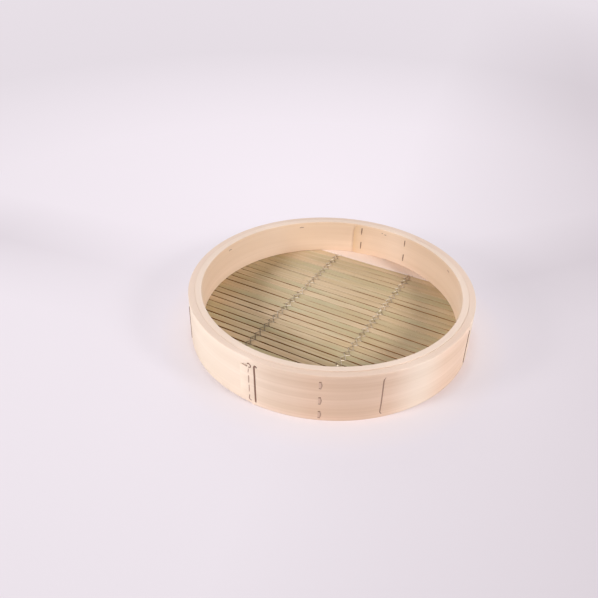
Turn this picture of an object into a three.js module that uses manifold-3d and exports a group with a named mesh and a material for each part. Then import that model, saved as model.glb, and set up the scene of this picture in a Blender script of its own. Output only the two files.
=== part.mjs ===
// Round steamer basket, one tier: sewn bent-wood hoops round a floor of lashed bamboo slats.
// Millimetres, +Z up, origin at the centre of the base. Azimuths are degrees from +X.
import * as THREE from "three";
import { mergeVertices } from "three/addons/utils/BufferGeometryUtils.js";
import Module from "manifold-3d";

const wasm = await Module();
wasm.setup();

// Hoops
const outerRadius = 210;
const outerHoopThickness = 9.7;
const outerHoopHeight = 75;
const innerHoopThickness = 9;
const lowerHoopHeight = 15;
const rimLip = 0.6; // the upper inner hoop stands this far above the outer one
const hoopEdgeRadius = 1.4;
const hoopSegments = 72;
const edgeSegments = 1; // half of the facets on a rounded edge
const fitGap = 0.3; // between wooden pieces that rest on or in each other

// Scarfed laps: each band overlaps itself between two azimuths and is thinned to a tip at both ends
const lapTipThickness = 1.4;
const lapGap = 0.3;
const lapSegments = 12;
const outerLapTip = -122;
const outerLapRoot = -88;
const upperLapRoot = 47.6;
const upperLapTip = 79.6;
const lowerLapRoot = 125;
const lowerLapTip = 150;

// Floor
const floorAzimuth = -25.3; // the way the slats run
const slatWidth = 11; // aimed at: the slats share the floor evenly
const slatThickness = 4.4;
const slatChamfer = 0.5;
const slatWander = 0.5; // hand-split slats: how far a gap strays from an even spacing
const wanderStep = 2.4; // radians from gap to gap
const slatEndSegments = 1; // half of the facets on a slat end
const floorSeat = 6; // how far the floor reaches in between the inner hoops
const endBoardDepth = 27; // from the wall to the straight edge, at the widest point
const endBoardSegments = 10; // half of the facets on a board arc

// Crossbars under the floor
const barOffset = 66; // from the middle of the floor to the middle of a bar
const barWidth = 6.4;
const barHeight = 6;
const barChamfer = 0.6;
const barSeat = 5; // how far a bar's end is let into the lower hoop

// Lashing wires
const wireDiameter = 1.2;
const wireClearance = 0.2;
const wireBend = 0.6; // how far from a corner a bend starts
const wireSides = 5;
const wireSampleStep = 0.5;

// Bark stitches
const barkThickness = 0.9;
const barkWidth = 2.4;
const barkProud = 0.4; // above the face that a strip shows on
const barkSink = 0.2; // below the face that a strip is hidden on
const barkClearance = 0.3;
const longStitchAzimuths = [18, 62.5, 105.8, 149.2, 197, 244.4, 290, 336.5]; // spaced by eye
const longStitchFoot = 6; // above the base
const longStitchTop = 8; // below the top of the outer hoop
const longStitchHook = 4; // sideways, at the top
const longStitchHead = 6; // the bar that shows inside the wall
const lapStitchInset = 4; // degrees from a lap's end to its stitch

// Derived radii and levels
const outerHoopBore = outerRadius - outerHoopThickness;
const innerHoopRadius = outerHoopBore - fitGap;
const wallRadius = innerHoopRadius - innerHoopThickness;
const floorRadius = wallRadius + floorSeat;
const floorBottom = lowerHoopHeight + fitGap;
const floorTop = floorBottom + slatThickness;
const upperHoopBottom = floorTop + fitGap;
const rimTop = outerHoopHeight + rimLip;
const barTop = lowerHoopHeight;
const barBottom = barTop - barHeight;

// Derived spacing: each gap lets the wire through
const slatGap = wireDiameter + 2 * wireClearance;
const slatSpan = 2 * (wallRadius - endBoardDepth);
const slatCount = Math.round(slatSpan / (slatWidth + slatGap));
const slatPitch = slatSpan / slatCount;

// Lap stitches: azimuth, the band's bottom and top, the bare margins there, dashes and skips
const lapStitches = [
  {
    name: "outer_lap_stitch_tip",
    azimuth: outerLapTip + lapStitchInset,
    outside: true,
    bottom: 0,
    top: outerHoopHeight,
    footMargin: 5.5,
    headMargin: 14.5,
    dashes: 4,
    skip: 5,
  },
  {
    name: "outer_lap_stitch_root",
    azimuth: outerLapRoot - lapStitchInset,
    outside: true,
    bottom: 0,
    top: outerHoopHeight,
    footMargin: 4.5,
    headMargin: 10,
    dashes: 3,
    skip: 13.5,
  },
  {
    name: "inner_lap_stitch_tip",
    azimuth: upperLapTip - lapStitchInset,
    outside: false,
    bottom: upperHoopBottom,
    top: rimTop,
    footMargin: 9.8,
    headMargin: 6.6,
    dashes: 2,
    skip: 15.6,
  },
  {
    name: "inner_lap_stitch_root",
    azimuth: upperLapRoot + lapStitchInset,
    outside: false,
    bottom: upperHoopBottom,
    top: rimTop,
    footMargin: 9.8,
    headMargin: 7.2,
    dashes: 2,
    skip: 16,
  },
  {
    name: "lower_lap_stitch",
    azimuth: lowerLapTip - lapStitchInset,
    outside: false,
    bottom: 0,
    top: lowerHoopHeight,
    footMargin: 3,
    headMargin: 3,
    dashes: 1,
    skip: 0,
  },
];

const basket = new THREE.Group();
const floor = new THREE.Group();
floor.rotation.z = THREE.MathUtils.degToRad(floorAzimuth);
basket.add(floor);

const hinoki = { color: 0xf0cfae, roughness: 0.62, metalness: 0 };
const bamboo = { color: 0xc6ae86, roughness: 0.5, metalness: 0 };
const bark = { color: 0x6e5446, roughness: 0.55, metalness: 0 };
const steel = { color: 0xa9a49c, roughness: 0.35, metalness: 1 };

// A named piece with a material of its own.
function addPiece(parent, name, geometry, look) {
  const piece = new THREE.Mesh(geometry, new THREE.MeshStandardMaterial(look));
  piece.name = name;
  parent.add(piece);
  return piece;
}

// A closed geometry as a solid that can be joined and cut.
function solidOf(geometry) {
  const loose = geometry.index ? geometry.toNonIndexed() : geometry;
  const bare = new THREE.BufferGeometry();
  bare.setAttribute("position", loose.getAttribute("position"));
  const merged = mergeVertices(bare);
  const mesh = new wasm.Mesh({
    numProp: 3,
    vertProperties: merged.getAttribute("position").array,
    triVerts: new Uint32Array(merged.index.array),
  });
  return new wasm.Manifold(mesh);
}

function geometryOf(solid) {
  const mesh = solid.getMesh();
  const geometry = new THREE.BufferGeometry();
  geometry.setAttribute("position", new THREE.BufferAttribute(mesh.vertProperties, 3));
  geometry.setIndex(new THREE.BufferAttribute(mesh.triVerts, 1));
  geometry.computeVertexNormals();
  return geometry;
}

// A box between two corners, grown on every side.
function block([low, high], grow) {
  const size = low.map((value, axis) => high[axis] - value + 2 * grow);
  const middle = low.map((value, axis) => (value + high[axis]) / 2);
  return new THREE.BoxGeometry(...size).translate(...middle);
}

function joinBlocks(blocks, grow, azimuth) {
  const turn = THREE.MathUtils.degToRad(azimuth);
  return blocks
    .map((corners) => solidOf(block(corners, grow).rotateZ(turn)))
    .reduce((whole, next) => whole.add(next));
}

// A flat plate of an outline, with chamfered edges, from one level to another.
function plate(outline, bottom, top, chamfer, curveSegments) {
  const geometry = new THREE.ExtrudeGeometry(outline, {
    depth: top - bottom - 2 * chamfer,
    curveSegments,
    bevelThickness: chamfer,
    bevelSize: chamfer,
    bevelOffset: -chamfer,
    bevelSegments: 1,
  });
  return geometry.translate(0, 0, bottom + chamfer);
}

// Hoops

// A ring with rounded edges, turned about +Z.
function ring(outer, inner, bottom, top) {
  const edge = hoopEdgeRadius;
  const section = new THREE.Path();
  section.absarc(outer - edge, bottom + edge, edge, -Math.PI / 2, 0, false);
  section.absarc(outer - edge, top - edge, edge, 0, Math.PI / 2, false);
  section.absarc(inner + edge, top - edge, edge, Math.PI / 2, Math.PI, false);
  section.absarc(inner + edge, bottom + edge, edge, Math.PI, 1.5 * Math.PI, false);
  section.closePath();
  const profile = section.getPoints(edgeSegments);
  return new THREE.LatheGeometry(profile, hoopSegments).rotateX(Math.PI / 2);
}

// The cut that parts a ring into a band lapped on itself: it runs in from the outer face at one
// azimuth, slants through the thickness and comes out of the inner face at the other azimuth.
function lapCut(outer, inner, outerEnd, innerEnd, bottom, top) {
  const start = THREE.MathUtils.degToRad(outerEnd);
  const end = THREE.MathUtils.degToRad(innerEnd);
  const over = outer + lapTipThickness;
  const under = inner - lapTipThickness;
  const polar = (radius, angle) =>
    new THREE.Vector2(radius * Math.cos(angle), radius * Math.sin(angle));
  const shallow = (share) =>
    THREE.MathUtils.lerp(outer - lapTipThickness, inner + lapTipThickness + lapGap, share);
  const slant = (from, to, depth) => {
    const points = [];
    for (let i = 0; i <= lapSegments; i++) {
      const angle = THREE.MathUtils.lerp(from, to, i / lapSegments);
      points.push(polar(shallow((angle - start) / (end - start)) - depth, angle));
    }
    return points;
  };
  const mouth = lapGap / outer;
  const exit = lapGap / inner;
  const outline = [
    polar(over, start),
    ...slant(start, end - exit, lapGap),
    polar(under, end - exit),
    polar(under, end),
    ...slant(end, start + mouth, 0),
    polar(over, start + mouth),
  ];
  const depth = top - bottom + 2 * lapTipThickness;
  const cut = new THREE.ExtrudeGeometry(new THREE.Shape(outline), { depth, bevelEnabled: false });
  return cut.translate(0, 0, bottom - lapTipThickness);
}

// Bark stitches, in a frame with +X outward and +Y to the right as seen from outside

// A strip that shows as dashes on one face of a band and hides on the other between them.
function lapStitchBlocks({ outside, bottom, top, footMargin, headMargin, dashes, skip }) {
  const [face, back] = outside ? [outerRadius, outerHoopBore] : [wallRadius, innerHoopRadius];
  const way = outside ? 1 : -1;
  const shown = [face + way * barkProud, face + way * (barkProud - barkThickness)];
  const hidden = [back + way * barkSink, back + way * (barkSink + barkThickness)];
  const dash = (top - bottom - footMargin - headMargin - (dashes - 1) * skip) / dashes;
  const strip = (radii, low, high) => [
    [Math.min(...radii), -barkWidth / 2, low],
    [Math.max(...radii), barkWidth / 2, high],
  ];
  const blocks = [];
  for (let i = 0; i < dashes; i++) {
    const low = bottom + footMargin + i * (dash + skip);
    const high = low + dash;
    blocks.push(strip(shown, low, high));
    blocks.push(strip([...shown, ...hidden], low, low + barkThickness));
    blocks.push(strip([...shown, ...hidden], high - barkThickness, high));
    if (i < dashes - 1) {
      blocks.push(strip(hidden, high - barkThickness, high + skip + barkThickness));
    }
  }
  return blocks;
}

// A long upright strip outside, hooked at the top, whose ends go through both hoops to a bar inside.
function longStitchBlocks() {
  const outside = outerRadius + barkProud;
  const inside = wallRadius - barkProud;
  const half = barkWidth / 2;
  const headHalf = longStitchHead / 2;
  const low = longStitchFoot;
  const high = outerHoopHeight - longStitchTop;
  const hook = longStitchHook;
  const shown = outside - barkThickness;
  const barDepth = inside + barkThickness;
  const lowEdge = low + barkThickness;
  const highEdge = high - barkThickness;
  return [
    [[shown, -half, low], [outside, half, high]],
    [[shown, -half, highEdge], [outside, hook + half, high]],
    [[inside, hook - half, highEdge], [outside, hook + half, high]],
    [[inside, hook - headHalf, highEdge], [barDepth, hook + headHalf, high]],
    [[inside, -half, low], [outside, half, lowEdge]],
    [[inside, -headHalf, low], [barDepth, headHalf, lowEdge]],
  ];
}

const stitches = lapStitches.map((stitch) => ({
  name: stitch.name,
  azimuth: stitch.azimuth,
  blocks: lapStitchBlocks(stitch),
}));
longStitchAzimuths.forEach((azimuth, i) => {
  stitches.push({ name: `long_stitch_${i + 1}`, azimuth, blocks: longStitchBlocks() });
});
for (const { name, azimuth, blocks } of stitches) {
  const strip = addPiece(basket, name, geometryOf(joinBlocks(blocks, 0, 0)), bark);
  strip.rotation.z = THREE.MathUtils.degToRad(azimuth);
}
const stitchChannels = stitches.map(({ azimuth, blocks }) =>
  joinBlocks(blocks, barkClearance, azimuth),
);

// Crossbars, and the notches for their ends in the lower hoop
const barHalfLength = Math.sqrt((wallRadius + barSeat) ** 2 - barOffset ** 2);
const bars = [
  ["crossbar_left", "lashing_wire_left", -barOffset],
  ["crossbar_right", "lashing_wire_right", barOffset],
];

function barOutline(grow) {
  const halfWidth = barWidth / 2 + grow;
  const halfLength = barHalfLength + grow;
  return new THREE.Shape([
    new THREE.Vector2(-halfWidth, -halfLength),
    new THREE.Vector2(halfWidth, -halfLength),
    new THREE.Vector2(halfWidth, halfLength),
    new THREE.Vector2(-halfWidth, halfLength),
  ]);
}

const barNotches = bars.map(([, , offset]) => {
  const depth = barHeight + 2 * fitGap;
  const notch = new THREE.ExtrudeGeometry(barOutline(fitGap), { depth, bevelEnabled: false });
  notch.translate(offset, 0, barBottom - fitGap);
  return solidOf(notch.rotateZ(floor.rotation.z));
});

function addHoop(name, outer, inner, bottom, top, lapEnds, cuts) {
  const lap = solidOf(lapCut(outer, inner, ...lapEnds, bottom, top));
  const whole = solidOf(ring(outer, inner, bottom, top));
  const band = [lap, ...cuts].reduce((rest, cut) => rest.subtract(cut), whole);
  addPiece(basket, name, geometryOf(band), hinoki);
}

addHoop("outer_hoop", outerRadius, outerHoopBore, 0, outerHoopHeight,
  [outerLapTip, outerLapRoot], stitchChannels);
addHoop("upper_inner_hoop", innerHoopRadius, wallRadius, upperHoopBottom, rimTop,
  [upperLapRoot, upperLapTip], stitchChannels);
addHoop("lower_inner_hoop", innerHoopRadius, wallRadius, 0, lowerHoopHeight,
  [lowerLapRoot, lowerLapTip], [...stitchChannels, ...barNotches]);

for (const [name, , offset] of bars) {
  const bar = addPiece(floor, name, plate(barOutline(0), barBottom, barTop, barChamfer, 1), bamboo);
  bar.position.x = offset;
}

// Floor, in its own frame: slats run along X and are spaced along Y, from front to rear

// The middle of a gap, where the wires pass. Gap 0 is at the front end board.
function gapLine(index) {
  const stray = Math.sin(wanderStep * index) * Math.sin((Math.PI * index) / slatCount);
  return index * slatPitch - slatSpan / 2 + slatWander * stray;
}

function slatOutline(front, rear) {
  const frontAngle = Math.asin(front / floorRadius);
  const rearAngle = Math.asin(rear / floorRadius);
  const outline = new THREE.Shape();
  outline.absarc(0, 0, floorRadius, frontAngle, rearAngle, false);
  outline.absarc(0, 0, floorRadius, Math.PI - rearAngle, Math.PI - frontAngle, false);
  outline.closePath();
  return outline;
}

for (let i = 0; i < slatCount; i++) {
  const outline = slatOutline(gapLine(i) + slatGap / 2, gapLine(i + 1) - slatGap / 2);
  const geometry = plate(outline, floorBottom, floorTop, slatChamfer, slatEndSegments);
  const slat = addPiece(floor, `slat_${String(i + 1).padStart(2, "0")}`, geometry, bamboo);
  slat.material.color.offsetHSL(0.01 * Math.sin(5 * i), 0, 0.03 * Math.sin(3 * i));
}

function endBoardOutline() {
  const edge = gapLine(slatCount) + slatGap / 2;
  const edgeAngle = Math.asin(edge / floorRadius);
  const outline = new THREE.Shape();
  outline.absarc(0, 0, floorRadius, edgeAngle, Math.PI - edgeAngle, false);
  outline.closePath();
  return outline;
}

const boardGeometry = plate(endBoardOutline(), floorBottom, floorTop, slatChamfer, endBoardSegments);
addPiece(floor, "end_board_rear", boardGeometry, hinoki);
addPiece(floor, "end_board_front", boardGeometry, hinoki).rotation.z = Math.PI;

// Lashing wires

// A path straight from point to point, with the section turned evenly at each bend.
class BentPath extends THREE.Curve {
  constructor(points) {
    super();
    this.points = points;
  }

  getPointAt(share) {
    return this.points[Math.round(share * (this.points.length - 1))].clone();
  }

  getTangentAt(share) {
    const last = this.points.length - 1;
    const index = Math.round(share * last);
    const tangent = new THREE.Vector3();
    for (const from of [index - 1, index]) {
      if (from >= 0 && from < last) {
        tangent.add(this.points[from + 1].clone().sub(this.points[from]).normalize());
      }
    }
    return tangent.normalize();
  }
}

// One wire winds round its bar: down the right of each gap, under the bar, up the left of the gap
// and slantwise over the next slat to the front.
function wireCorners(offset) {
  const reach = barWidth / 2 + wireClearance + wireDiameter / 2;
  const over = floorTop + wireClearance + wireDiameter / 2;
  const under = barBottom - wireClearance - wireDiameter / 2;
  const corners = [];
  for (let i = slatCount; i >= 0; i--) {
    const gap = gapLine(i);
    if (i < slatCount) {
      corners.push(new THREE.Vector3(offset + reach, gap, over));
    }
    corners.push(new THREE.Vector3(offset + reach, gap, under));
    corners.push(new THREE.Vector3(offset - reach, gap, under));
    if (i > 0) {
      corners.push(new THREE.Vector3(offset - reach, gap, over));
    }
  }
  return corners;
}

// Each corner becomes the two ends of a short bend.
function bendCorners(corners) {
  const towards = (from, to) => to.clone().sub(from).setLength(wireBend).add(from);
  const last = corners.length - 1;
  const bends = corners
    .slice(1, last)
    .flatMap((corner, i) => [towards(corner, corners[i]), towards(corner, corners[i + 2])]);
  return [corners[0], ...bends, corners[last]];
}

// The least gap between stretches of one wire that are further apart along it than a half turn.
function leastSelfGap(points) {
  const samples = [];
  for (let i = 1; i < points.length; i++) {
    const count = Math.ceil(points[i].distanceTo(points[i - 1]) / wireSampleStep);
    for (let j = 0; j < count; j++) {
      samples.push(points[i - 1].clone().lerp(points[i], j / count));
    }
  }
  const skip = Math.ceil((barHeight + slatThickness) / wireSampleStep);
  let least = Infinity;
  for (let i = 0; i < samples.length; i++) {
    for (let j = i + skip; j < samples.length; j++) {
      least = Math.min(least, samples[i].distanceTo(samples[j]));
    }
  }
  return least - wireDiameter;
}

function wireSection() {
  const points = [];
  for (let i = 0; i < wireSides; i++) {
    const angle = (2 * Math.PI * i) / wireSides;
    points.push(new THREE.Vector2(Math.cos(angle), Math.sin(angle)).multiplyScalar(wireDiameter / 2));
  }
  return new THREE.Shape(points);
}

for (const [, name, offset] of bars) {
  const points = bendCorners(wireCorners(offset));
  const extrudePath = new BentPath(points);
  const geometry = new THREE.ExtrudeGeometry(wireSection(), { steps: points.length - 1, extrudePath });
  addPiece(floor, name, geometry, steel);
  console.log(`${name}: least gap to itself ${leastSelfGap(points).toFixed(2)} mm`);
}

export default basket;
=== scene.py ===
import math

import bmesh
import bpy
import numpy as np
from mathutils import Matrix, Vector


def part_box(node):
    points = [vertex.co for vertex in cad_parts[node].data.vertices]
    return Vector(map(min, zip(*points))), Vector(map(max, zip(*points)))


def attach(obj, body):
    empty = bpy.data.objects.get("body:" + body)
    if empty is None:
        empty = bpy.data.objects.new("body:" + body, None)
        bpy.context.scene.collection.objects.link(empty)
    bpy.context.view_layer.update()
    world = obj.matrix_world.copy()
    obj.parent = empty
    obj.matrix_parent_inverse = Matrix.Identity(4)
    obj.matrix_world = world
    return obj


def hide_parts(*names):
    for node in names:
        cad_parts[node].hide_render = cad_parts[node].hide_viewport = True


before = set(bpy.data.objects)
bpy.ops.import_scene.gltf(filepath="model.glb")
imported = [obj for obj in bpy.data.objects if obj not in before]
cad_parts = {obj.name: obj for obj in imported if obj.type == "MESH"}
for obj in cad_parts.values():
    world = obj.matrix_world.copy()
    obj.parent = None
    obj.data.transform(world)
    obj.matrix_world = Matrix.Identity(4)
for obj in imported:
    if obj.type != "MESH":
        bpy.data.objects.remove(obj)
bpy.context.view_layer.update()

# Bent bands
OUTER_BAND = 0.0097
INNER_BAND = 0.009
BAND_EDGE = 0.001
MEETING_EDGE = 0.0002  # where two bands lie side by side
BAND_STEPS = 400
EDGE_SHARE = 0.4  # the most of a band's thickness that a rounded edge takes
RIM_WAVE = 0.00025
SNUG = 0.00025  # how far a band closes the clearance to its neighbour
OUTER_LAP = (-122.0, -88.0)
UPPER_LAP = (47.6, 79.6)
LOWER_LAP = (125.0, 150.0)
LAP_GAP = 0.0002
LAP_FLAT = 5.5  # degrees at both ends of a lap over which a tip keeps its thickness
LAP_SETTLE = 26.0  # degrees over which a band bends back to its full radius
OUTER_STEP = 0.0009  # thickness of a band's tip
INNER_STEP = 0.0012
TIP_LENGTH = 0.022
TIP_STEPS = 44
TONGUE_CUT = (0.0098, 0.014)  # below and above the tongue that the outer band ends in
TONGUE_LENGTH = 0.0105
TONGUE_SHOULDER = 0.0085
TONGUE_CORNER = 0.002
CORNER_WIDTH = 0.009  # of the rounded upper corner of the inner band's tip
CORNER_HEIGHT = 0.0146
LOWER_CORNER_HEIGHT = 0.2 * CORNER_HEIGHT
TIP_FADE = 0.011

# Floor
FLOOR_AZIMUTH = math.radians(-25.3)
FLOOR_RADIUS = 0.197
WIRE_OFFSET = 0.066
WIRE_ROOM = 0.0064  # a gap stays open this far to both sides of a wire line
WIRE_ROOM_FADE = 0.002
GAP_CLOSE = (-0.00045, 0.00064)  # how far a slat grows into a wide and into a tight gap
WIDE_GAPS = (1, 2, 3, 4, 5, 6, 7, 9, 10, 11, 13, 16, 19)
GAP_LEAN = 0.001  # how far a gap strays at its ends
GAP_WAVE = 0.23
GAP_UNEVENNESS = 0.5
WIDE_TIGHTNESS = (0, 0.4)
NARROW_TIGHTNESS = (0.5, 1)
SLAT_EDGE = 0.0003
SLAT_CROWN = 0.0002
SIDE_DEPTH = 0.08  # share of its height over which a slat's side turns dark with painted shade
SIDE_AT_WIRE = 0.4  # how dark the painted shade is beside a wire
SIDE_CLEAR = 0.6  # share of a wire's room over which it stays so
SIDE_PALE = 0.85  # how much paler the sides of the rear slats are, towards the left: painted light where the lamp falls on them
SIDE_PALE_FROM = (0.03, 0.02)  # to the left of the first and to the rear of the second place
SIDE_PALE_FADE = 0.06
SLAT_STEPS = 80
FAR_POLE = 100.0  # metres across the slats, so that the fibres run straight along them
JOINT_START = (-0.19, 0.03)  # where a slat's first joint lies, from its middle
JOINT_SPACING = (0.24, 0.36)
JOINT_HEIGHT = 0.0001
JOINT_WIDTH = 0.0016
JOINT_DIP = 0.5  # how deep the dip beside a joint is, in joint heights
JOINT_SINK = 0.8  # how far a slat's top is lowered to make room for its joints, likewise
JOINT_REACH = 4  # joint widths to both sides that are modelled finely, in this many steps
JOINT_STEPS = 17
SLAT_HUE = 0.16  # how far slats differ between tan and green
BOARD_EDGE = 0.0007
BOARD_STEPS = 48
BAR_EDGE = 0.0009

# Wire
WIRE_DIAMETER = 0.0008
WIRE_SIDES = 10
WIRE_BEND = 0.0014
WIRE_LIFT = 0.00005
WIRE_WANDER = 0.001
FRONT_SHADE_START = -0.02  # towards the front from here a wire with painted shade turns darker
FRONT_SHADE_FADE = 0.06

# Bark
BARK_WIDTH = 0.0023
SLIM_WIDTH = 0.0017
BROAD_WIDTH = 0.003
LOOP_WIDTH = 0.0045
DASH_WIDTH = 0.0017
INNER_DASH_WIDTH = 0.002
HOOKED_STITCHES = (3, 6)  # numbers of the long stitches that differ
DOTTED_STITCHES = (2,)
SLIM_STITCHES = (1, 7)
SHORT_STITCHES = (5, 8)
SHORT_TOP = 0.062  # where the short ones end
STITCH_LEAN = 0.0005
DASH_LEAN = 0.0003
STITCH_INSET = 4.0  # degrees from the end of a lap to its running stitch
FOOT_HEIGHT = 0.0001  # up to which a stitch's lowest points count as its foot
BARK_THICKNESS = 0.0007
BARK_EDGE = 0.45 * BARK_THICKNESS
BARK_PROUD = 0.0003
LONG_PROUD = 0.0006
BARK_BEND = 0.0005
BARK_DEPTH = 0.0012
BARK_TAPER = 0.005
HOLE_SHADE = 0.0012

# Studio floor
GROUND_MIDDLE = (0.005, 0.001, 0)
GROUND_START = (0.206, 0.224)  # the even ground begins at this distance from there
GROUND_NEAR = 0.72  # its share beside the basket, which leaves the rest to the shadow
GROUND_FADE = (0.3, 0.9)  # between these distances it takes over
GROUND_DUSK = (0.0, 0.44)  # between these distances along a way to the right it turns darker
GROUND_DUSK_WAY = (1, -0.24, 0)
GROUND_GLOW = (-0.07, 0.42, 0)  # where it is brightest
GROUND_GLOW_REACH = (0.1, 1.25)  # between these distances from there it turns darker too
# Long soft shadows: the azimuth of each, between which distances it sets in, and how deep it is
GROUND_SHADES = [(161, (0.2, 0.65), 0.3), (27, (0.2, 0.4), 0.28)]
GROUND_SHADE_WIDTH = 0.15
GROUND_SHADE_END = (0.7, 1.1)
GROUND_EVEN = (1.3, 3.0)  # between these distances all of it turns to one tone
GROUND_WARM = (0.21, 0.265)  # between these distances the warm glow of the wood fades out
GROUND_WARMTH = 0.34

# Each piece takes its grain from another place on a made-up stem of some length, or a step further on
WOOD_STEM = 50
BARK_STEM = 20
SLAT_GRAIN_STEP = 3.1
STRAND_GRAIN_STEP = 10

SHARP_ANGLE = math.radians(38)  # edges that turn by more stay sharp

random = np.random.default_rng(11)


def smoothstep(x):
    """An even rise from 0 to 1 while x does the same, flat before and after."""
    x = np.clip(x, 0.0, 1.0)
    return x * x * (3 - 2 * x)


class Drift:
    """A smooth random curve between -1 and 1 whose longest wave has a given length."""

    def __init__(self, longest, waves=5):
        order = np.arange(1, waves + 1)
        self.rates = 2 * np.pi * order / longest
        self.phases = random.uniform(0, 2 * np.pi, waves)
        self.shares = (1 / order) / (1 / order).sum()

    def __call__(self, place):
        place = np.asarray(place)[..., None]
        return (self.shares * np.sin(self.rates * place + self.phases)).sum(-1)


def tint(red, green, blue):
    """A linear colour from 8-bit display values."""
    def linear(value):
        value /= 255
        return value / 12.92 if value <= 0.04045 else ((value + 0.055) / 1.055) ** 2.4
    return (linear(red), linear(green), linear(blue), 1.0)


# Materials


class Look:
    """A node-based material, with a short call for each kind of node used here."""

    def __init__(self, name):
        self.material = bpy.data.materials.new(name)
        self.material.use_nodes = True
        self.tree = self.material.node_tree
        self.surface = self.tree.nodes["Principled BSDF"]

    def feed(self, socket, value):
        if isinstance(value, bpy.types.NodeSocket):
            self.tree.links.new(value, socket)
        else:
            socket.default_value = value

    def attribute(self, name, output="Fac"):
        node = self.tree.nodes.new("ShaderNodeAttribute")
        node.attribute_name = name
        return node.outputs[output]

    def noise(self, place, scale, detail, roughness):
        """Noise that is stretched along the grain by a scale for each axis, per metre."""
        mapping = self.tree.nodes.new("ShaderNodeMapping")
        self.feed(mapping.inputs["Vector"], place)
        mapping.inputs["Scale"].default_value = scale
        node = self.tree.nodes.new("ShaderNodeTexNoise")
        self.feed(node.inputs["Vector"], mapping.outputs["Vector"])
        node.inputs["Scale"].default_value = 1.0
        node.inputs["Detail"].default_value = detail
        node.inputs["Roughness"].default_value = roughness
        return node.outputs["Fac"]

    def span(self, value, low, high, start=0.0, end=1.0):
        """A value mapped from low and high to start and end, and kept between them."""
        node = self.tree.nodes.new("ShaderNodeMapRange")
        self.feed(node.inputs["Value"], value)
        node.inputs["From Min"].default_value = low
        node.inputs["From Max"].default_value = high
        node.inputs["To Min"].default_value = start
        node.inputs["To Max"].default_value = end
        return node.outputs["Result"]

    def math(self, operation, first, second):
        node = self.tree.nodes.new("ShaderNodeMath")
        node.operation = operation
        self.feed(node.inputs[0], first)
        self.feed(node.inputs[1], second)
        return node.outputs[0]

    def vector_math(self, operation, first, second):
        node = self.tree.nodes.new("ShaderNodeVectorMath")
        node.operation = operation
        self.feed(node.inputs[0], first)
        self.feed(node.inputs[1], second)
        return node.outputs["Value"]

    def mix(self, factor, first, second):
        """A mix of two colours. The numbers are those of the node's colour sockets."""
        node = self.tree.nodes.new("ShaderNodeMix")
        node.data_type = "RGBA"
        self.feed(node.inputs["Factor"], factor)
        self.feed(node.inputs[6], first)
        self.feed(node.inputs[7], second)
        return node.outputs[2]

    def stain(self, color, amount, share, other, full=1):
        """A colour that takes up a share of another one, where the amount reaches its full value."""
        return self.mix(self.span(amount, 0, full, 0, share), color, other)

    def bump(self, height, distance):
        node = self.tree.nodes.new("ShaderNodeBump")
        node.inputs["Strength"].default_value = 1.0
        node.inputs["Distance"].default_value = distance
        self.feed(node.inputs["Height"], height)
        return node.outputs["Normal"]

    def dress(self, **inputs):
        """Feeds the surface's inputs, which are named with _ for a space, and gives the material."""
        for socket, value in inputs.items():
            self.feed(self.surface.inputs[socket.replace("_", " ")], value)
        return self.material


def hinoki_look():
    """Planed pale cypress: soft bands, growth lines and fibres along the strip with their sheen, a tan
    or pale rim, and tips in their own tone. Paler, darker and warmer stretches by azimuth are partly
    the wood's tone and partly painted sheen, painted shade and painted bounce light, and the end
    boards are made paler as painted light."""
    look = Look("hinoki")
    grain = look.attribute("grain", "Vector")
    pale = look.attribute("pale")
    worn = look.attribute("worn")
    tip = look.attribute("tip")
    bands = look.span(look.noise(grain, (1.3, 62, 62), 3, 0.55), 0.3, 0.7)
    lines = look.span(look.noise(grain, (1.8, 330, 330), 2, 0.6), 0.45, 0.75)
    fibres = look.noise(grain, (45, 2600, 2600), 2, 0.6)
    color = look.mix(bands, tint(237, 208, 186), tint(217, 184, 156))
    color = look.stain(color, lines, 0.34, tint(206, 168, 136))
    color = look.mix(look.span(fibres, 0.5, 0.8, 0, 0.1), color, tint(198, 158, 128))
    # Pale stretches: the wood's own tone, partly painted sheen and painted shade along the outer band,
    # and painted light on the end boards.
    color = look.stain(color, pale, 0.7, tint(243, 233, 217))
    color = look.stain(color, pale, 0.7, tint(205, 175, 150), full=-1)
    # Painted bounce light in a warmer tint, stronger where it paints highlights.
    color = look.stain(color, look.attribute("warm"), 0.6, tint(252, 216, 184))
    # The rim's own pale or tan tone; on the end boards the same attribute is painted light.
    color = look.stain(color, worn, 0.8, tint(250, 227, 215))
    color = look.stain(color, worn, 0.8, tint(238, 209, 191), full=-1)
    color = look.stain(color, tip, 0.8, tint(226, 190, 148))
    color = look.stain(color, tip, 0.4, tint(246, 227, 204), full=-1)
    height = look.math("ADD", look.span(fibres, 0, 1, 0, 0.6), look.span(lines, 0, 1, 0.4, 0))
    return look.dress(
        Base_Color=color,
        Roughness=look.span(fibres, 0.2, 0.8, 0.46, 0.58),
        Specular_IOR_Level=0.7,
        Sheen_Weight=0.15,
        Sheen_Roughness=0.3,
        Anisotropic=0.9,
        Anisotropic_Rotation=0.25,
        Normal=look.bump(height, 0.00006),
    )


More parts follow.
